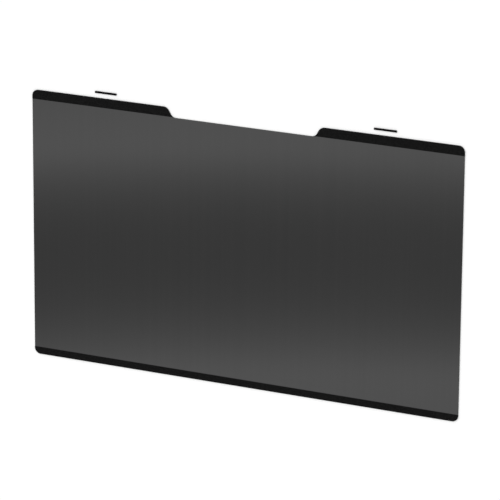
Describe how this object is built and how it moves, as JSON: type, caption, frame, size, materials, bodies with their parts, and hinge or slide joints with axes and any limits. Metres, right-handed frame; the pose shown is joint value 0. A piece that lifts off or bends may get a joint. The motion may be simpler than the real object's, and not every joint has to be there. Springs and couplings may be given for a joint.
{
  "type": "laptop privacy filter",
  "caption": "Thin dark privacy film for a wide laptop screen, with magnetic black tabs either side of a camera gap, a black foot band and loose steel bezel strips.",
  "frame": {"origin": "middle of the clear window on the rear face, which goes on the middle of the display", "axes": "+X to the right across the screen, +Y up the screen towards the tabs, +Z out of the front face"},
  "size_m": [0.3098, 0.1901, 0.0007],
  "materials": {
    "privacy_film": "gloss",
    "black_band": "matte",
    "flexible_magnet": "matte",
    "black_steel": "satin",
    "adhesive_pad": "matte"
  },
  "bodies": {
    "root": {"film_sheet": "privacy_film", "bottom_band": "black_band", "left_tab_band": "black_band", "right_tab_band": "black_band", "left_tab_magnet": "flexible_magnet", "right_tab_magnet": "flexible_magnet", "left_bezel_strip": "black_steel", "right_bezel_strip": "black_steel", "left_strip_adhesive": "adhesive_pad", "right_strip_adhesive": "adhesive_pad"}
  },
  "joints": []
}
